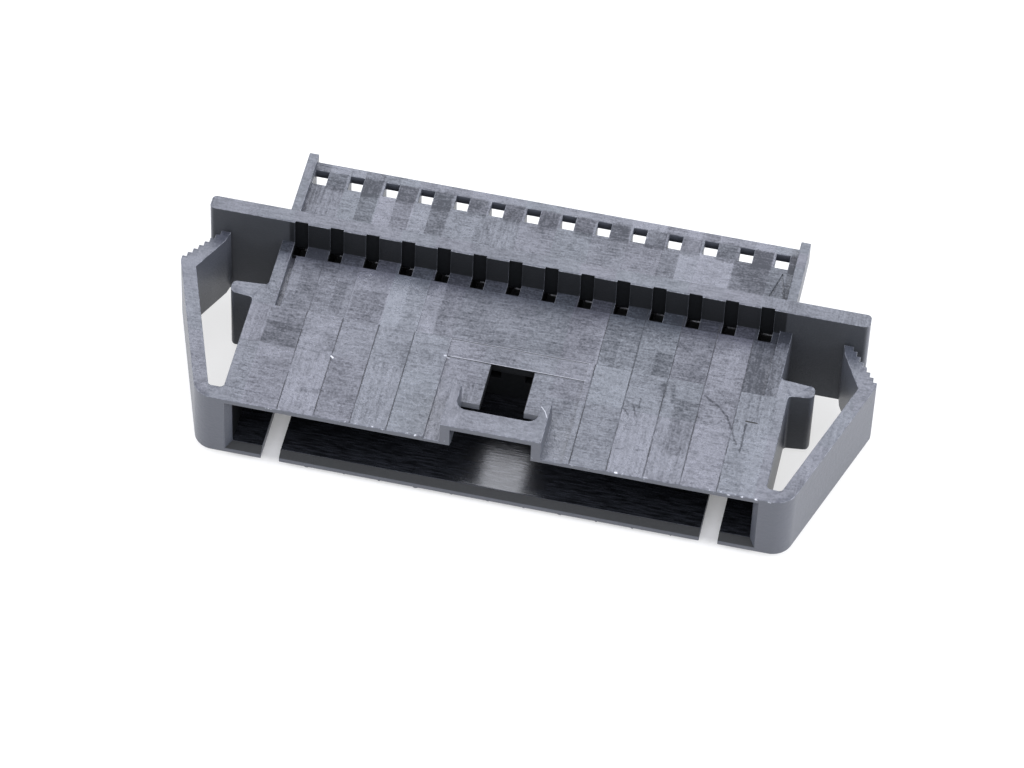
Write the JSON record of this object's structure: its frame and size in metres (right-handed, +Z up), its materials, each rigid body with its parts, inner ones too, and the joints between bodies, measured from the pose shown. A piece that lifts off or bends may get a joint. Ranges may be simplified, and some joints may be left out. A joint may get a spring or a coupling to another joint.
{
  "type": "wire to board connector housing",
  "caption": "Panel-mount connector housing for a row of crimp terminals: flat mating shroud with latch bridge, panel flange and side snap arms, open wire side, one moulding.",
  "frame": {"origin": "middle of the flange's front face, the one that seats on the panel, level with its lower edge", "axes": "+X along the row of chambers, -Y out of the mating mouth, +Y out of the wire side, +Z up through the latch bridge"},
  "size_m": [0.0492, 0.0225, 0.0082],
  "materials": {
    "housing": "satin, as moulded"
  },
  "bodies": {
    "root": {"housing": "housing"}
  },
  "joints": []
}
